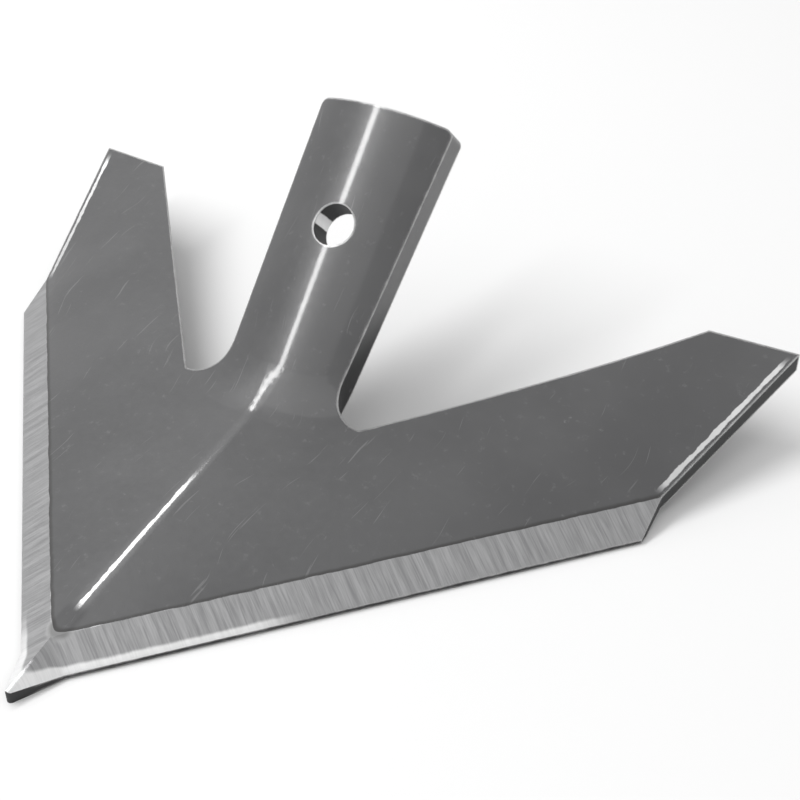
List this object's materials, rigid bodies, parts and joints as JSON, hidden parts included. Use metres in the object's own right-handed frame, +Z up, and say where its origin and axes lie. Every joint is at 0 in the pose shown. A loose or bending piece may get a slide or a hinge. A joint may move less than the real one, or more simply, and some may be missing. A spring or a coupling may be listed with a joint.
{
  "type": "cultivator sweep",
  "caption": "V-shaped cultivator sweep with ground cutting edges, a leaning arched stem and one bolt hole for a tine.",
  "frame": {"origin": "middle of the outline from above, at the level on which the cutting edges and the nose rest", "axes": "+Z up; +X to the right across the wings, the longest extent; the nose points along -Y and the stem leans back towards +Y"},
  "size_m": [0.22, 0.1724, 0.0722],
  "materials": {
    "sweep": "dark grey paint over forged steel, with bare ground bevels along the cutting edges"
  },
  "bodies": {
    "root": {"sweep": "sweep"}
  },
  "joints": []
}
